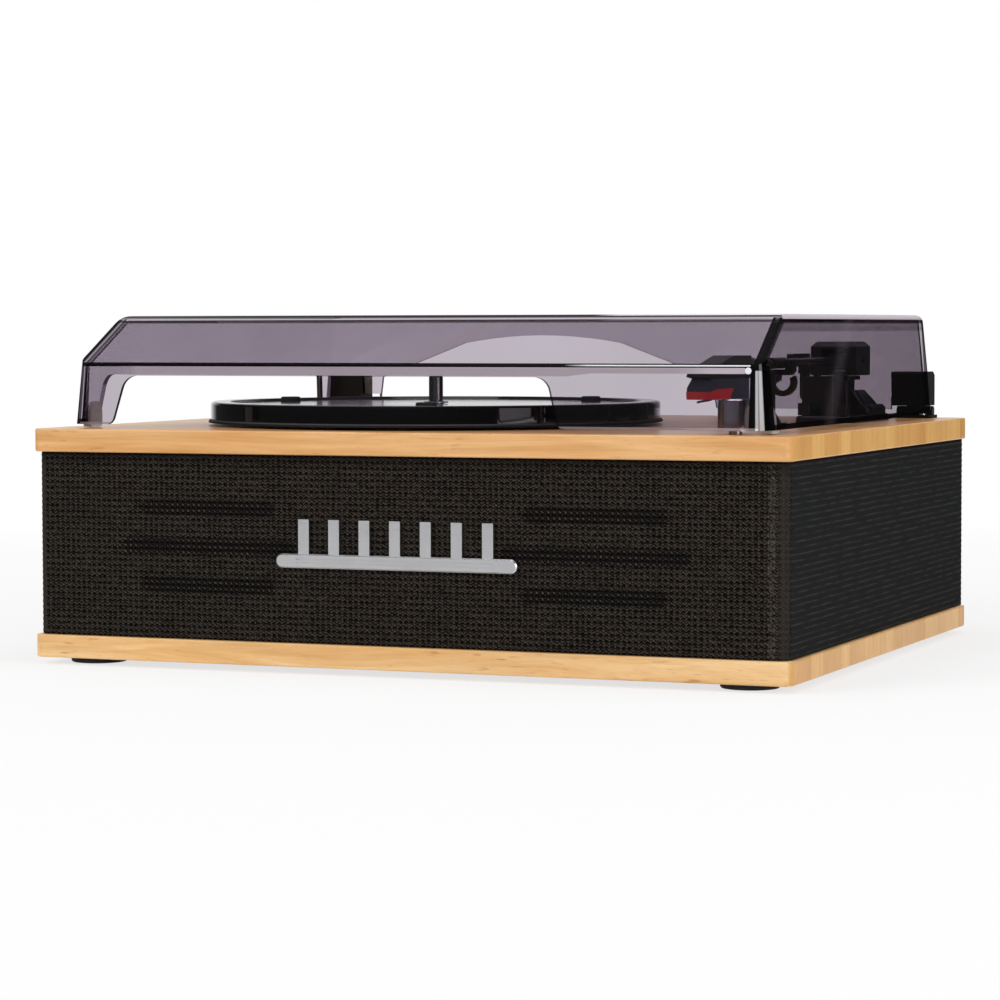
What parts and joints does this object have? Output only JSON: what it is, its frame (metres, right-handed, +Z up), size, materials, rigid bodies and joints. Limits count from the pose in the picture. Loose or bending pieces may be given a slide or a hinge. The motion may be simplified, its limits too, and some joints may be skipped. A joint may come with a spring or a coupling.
{
  "type": "record player",
  "caption": "Record player in a low cloth-wrapped wooden cabinet with a belt-driven platter, a pivoted tonearm and a hinged smoked lid notched for large records.",
  "frame": {"origin": "middle of the footprint, on the surface the feet stand on", "axes": "+X to the right as the badge is read, +Y to the back, +Z up"},
  "size_m": [0.38, 0.32, 0.167],
  "materials": {
    "lacquered_wood": "gloss lacquer",
    "panel_wood": "raw fibreboard",
    "black_panel": "painted matte black",
    "grille_cloth": "coarse woven",
    "badge_metal": "brushed",
    "foot_rubber": "matte",
    "steel_screw": "satin",
    "speaker_frame": "satin black",
    "speaker_cone": "matte",
    "magnet": "matte",
    "circuit_board": "solder mask",
    "capacitor": "sleeved",
    "heat_sink": "anodised",
    "spacer_brass": "machined",
    "socket_black": "moulded",
    "socket_metal": "plated",
    "control_can": "zinc",
    "knob_metal": "turned, satin",
    "spindle_steel": "polished",
    "bearing_brass": "turned",
    "washer_plastic": "moulded",
    "platter_black": "gloss",
    "pad_rubber": "matte",
    "motor_steel": "satin",
    "pulley_brass": "turned",
    "belt_rubber": "matte",
    "arm_black": "fine grained",
    "arm_tube": "satin black",
    "cartridge_grey": "moulded",
    "stylus_red": "translucent red",
    "cantilever": "drawn",
    "smoked_lid": "smoked, polished",
    "bumper_rubber": "clear, soft",
    "hinge_black": "moulded",
    "hinge_pin": "ground"
  },
  "bodies": {
    "cabinet": {"base_board": "lacquered_wood", "deck_board": "lacquered_wood", "feet": "foot_rubber", "foot_screws": "steel_screw", "front_baffle": "panel_wood", "left_panel": "panel_wood", "right_panel": "panel_wood", "back_panel": "black_panel", "grille_cloth": "grille_cloth", "front_badge": "badge_metal", "speaker_frames": "speaker_frame", "speaker_cones": "speaker_cone", "speaker_magnets": "magnet", "amplifier_board": "circuit_board", "board_spacers": "spacer_brass", "capacitors": "capacitor", "heat_sink": "heat_sink", "power_inlet": "socket_black", "line_outputs": "socket_metal", "line_input": "socket_metal", "volume_control": "control_can", "spindle_bush": "bearing_brass", "spindle": "spindle_steel", "thrust_washer": "washer_plastic", "spindle_nut": "steel_screw", "spindle_clip": "steel_screw", "motor_grommets": "foot_rubber", "motor_plate": "motor_steel", "motor": "motor_steel", "drive_belt": "belt_rubber", "arm_base": "arm_black", "arm_rest": "arm_black", "hinge_bases": "hinge_black", "hinge_pins": "hinge_pin", "hinge_screws": "steel_screw"},
    "platter": {"platter": "platter_black", "platter_pads": "pad_rubber"},
    "motor_rotor": {"motor_shaft": "steel_screw", "motor_pulley": "pulley_brass"},
    "volume_knob": {"volume_shaft": "steel_screw", "volume_knob": "knob_metal"},
    "speed_selector": {"speed_selector": "arm_black"},
    "auto_stop_switch": {"auto_stop_switch": "arm_black"},
    "cue_lever": {"cue_lever": "arm_black"},
    "lift_bar": {"lift_bar": "arm_black"},
    "arm_lock": {"arm_lock": "arm_black"},
    "arm_housing": {"arm_housing": "arm_black", "shaft_clip": "steel_screw"},
    "tonearm": {"cross_pin": "hinge_pin", "arm_block": "arm_black", "arm_tube": "arm_tube", "arm_sleeve": "arm_black", "headshell": "arm_black", "cartridge": "cartridge_grey", "stylus_holder": "stylus_red", "stylus": "cantilever"},
    "lid": {"lid": "smoked_lid", "lid_bumpers": "bumper_rubber", "hinge_clamps": "hinge_black"}
  },
  "joints": [
    {"name": "lid_hinge", "type": "hinge", "parent": "cabinet", "child": "lid", "pos_m": [0, 0.156, 0.1163], "axis": [-1, 0, 0], "range_deg": [0, 85]},
    {"name": "platter_spin", "type": "hinge", "parent": "cabinet", "child": "platter", "pos_m": [-0.034, -0.03, 0.12], "axis": [0, 0, -1], "continuous": true},
    {"name": "motor_spin", "type": "hinge", "parent": "cabinet", "child": "motor_rotor", "pos_m": [-0.1033, 0.0393, 0.11], "axis": [0, 0, -1], "continuous": true},
    {"name": "arm_swing", "type": "hinge", "parent": "cabinet", "child": "arm_housing", "pos_m": [0.1425, 0.0835, 0.13], "axis": [0, 0, -1], "range_deg": [0, 38]},
    {"name": "arm_lift", "type": "hinge", "parent": "arm_housing", "child": "tonearm", "pos_m": [0.1425, 0.0835, 0.1437], "axis": [-1, 0, 0], "range_deg": [0, 4.5]},
    {"name": "arm_lock_turn", "type": "hinge", "parent": "cabinet", "child": "arm_lock", "pos_m": [0.1407, -0.0294, 0.1377], "axis": [0, -1, 0], "range_deg": [0, 101.9]},
    {"name": "cue_lever_turn", "type": "hinge", "parent": "cabinet", "child": "cue_lever", "pos_m": [0.11875, 0.1, 0.127], "axis": [1, 0, 0], "range_deg": [0, 30]},
    {"name": "lift_bar_slide", "type": "slide", "parent": "cabinet", "child": "lift_bar", "axis": [0, 0, -1], "range_m": [0, 0.001]},
    {"name": "volume_turn", "type": "hinge", "parent": "cabinet", "child": "volume_knob", "pos_m": [0.155, -0.131, 0.12], "axis": [0, 0, -1], "range_deg": [0, 300]},
    {"name": "speed_select", "type": "slide", "parent": "cabinet", "child": "speed_selector", "axis": [0, 1, 0], "range_m": [0, 0.004]},
    {"name": "auto_stop_select", "type": "slide", "parent": "cabinet", "child": "auto_stop_switch", "axis": [0, 1, 0], "range_m": [0, 0.004]}
  ],
  "couplings": [
    {"joint": "motor_spin", "follows": "platter_spin", "ratio": 16.3},
    {"joint": "lift_bar_slide", "follows": "cue_lever_turn", "m_per_rad": 0.00191}
  ]
}
